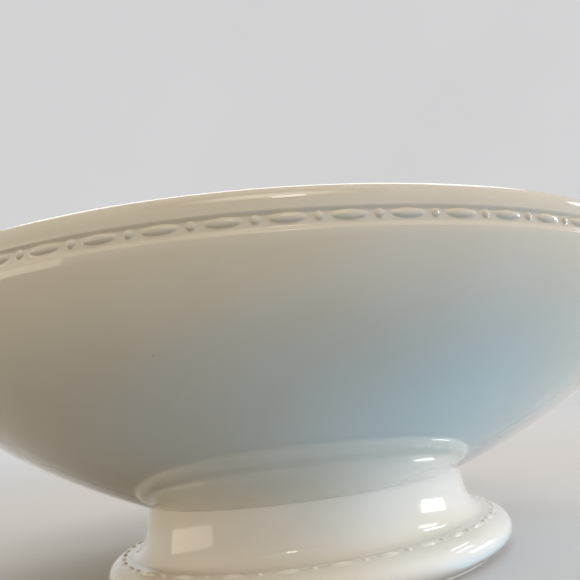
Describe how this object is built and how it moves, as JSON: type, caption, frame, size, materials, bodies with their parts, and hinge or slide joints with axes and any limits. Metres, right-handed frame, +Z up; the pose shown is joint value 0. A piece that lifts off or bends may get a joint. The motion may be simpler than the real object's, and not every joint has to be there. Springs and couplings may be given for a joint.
{
  "type": "footed serving bowl",
  "caption": "Oval serving bowl of white glazed porcelain on a hollow pedestal foot, with bead-and-reel strings under the rim and round the foot.",
  "frame": {"origin": "centre of the base, on the surface the bowl stands on", "axes": "+X along the length of the oval, +Y across it, +Z up"},
  "size_m": [0.2434, 0.2154, 0.0836],
  "materials": {
    "glaze": "gloss",
    "slip": "gloss",
    "bisque": "matte"
  },
  "bodies": {
    "root": {"basin": "glaze", "rim_bead_bars": "glaze", "rim_bead_pearls": "glaze", "pedestal_foot": "glaze", "foot_bead_bars": "glaze", "foot_bead_pearls": "glaze", "luting_seam": "slip", "foot_ring": "bisque"}
  },
  "joints": []
}
